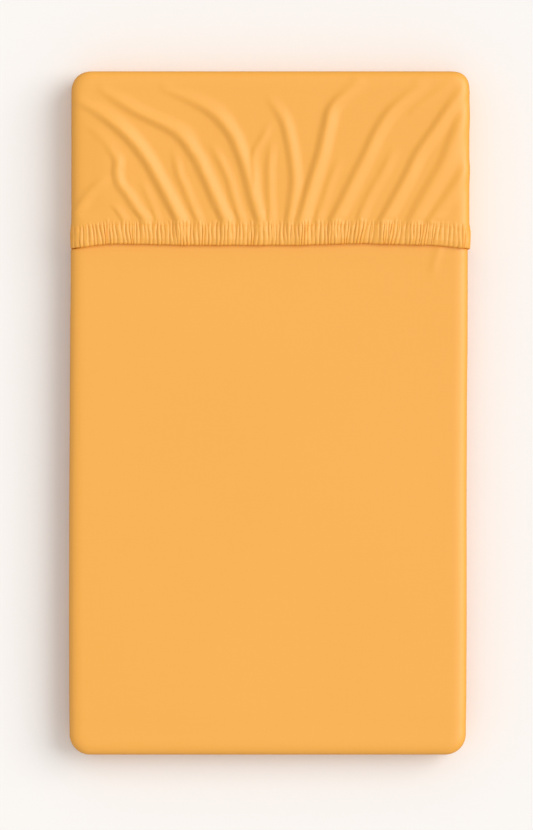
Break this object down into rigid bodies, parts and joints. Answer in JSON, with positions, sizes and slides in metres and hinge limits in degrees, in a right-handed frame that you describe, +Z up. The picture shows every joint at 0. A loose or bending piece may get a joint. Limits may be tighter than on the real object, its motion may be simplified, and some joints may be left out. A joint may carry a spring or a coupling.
{
  "type": "folded fitted sheet",
  "caption": "Flat folded packet of a plain orange cotton fitted sheet, its end pocket with a gathered elastic hem pulled over one end.",
  "frame": {"origin": "middle of the bottom of the bounding box, on the surface that the packet lies on", "axes": "+Y up the packet towards the end pocket, +Z up from the surface, +X to the right"},
  "size_m": [0.2526, 0.43, 0.0273],
  "materials": {
    "orange_cotton": "smooth matt cotton, plain orange, with a gathered elastic hem"
  },
  "bodies": {
    "root": {"fitted_sheet": "orange_cotton"}
  },
  "joints": []
}
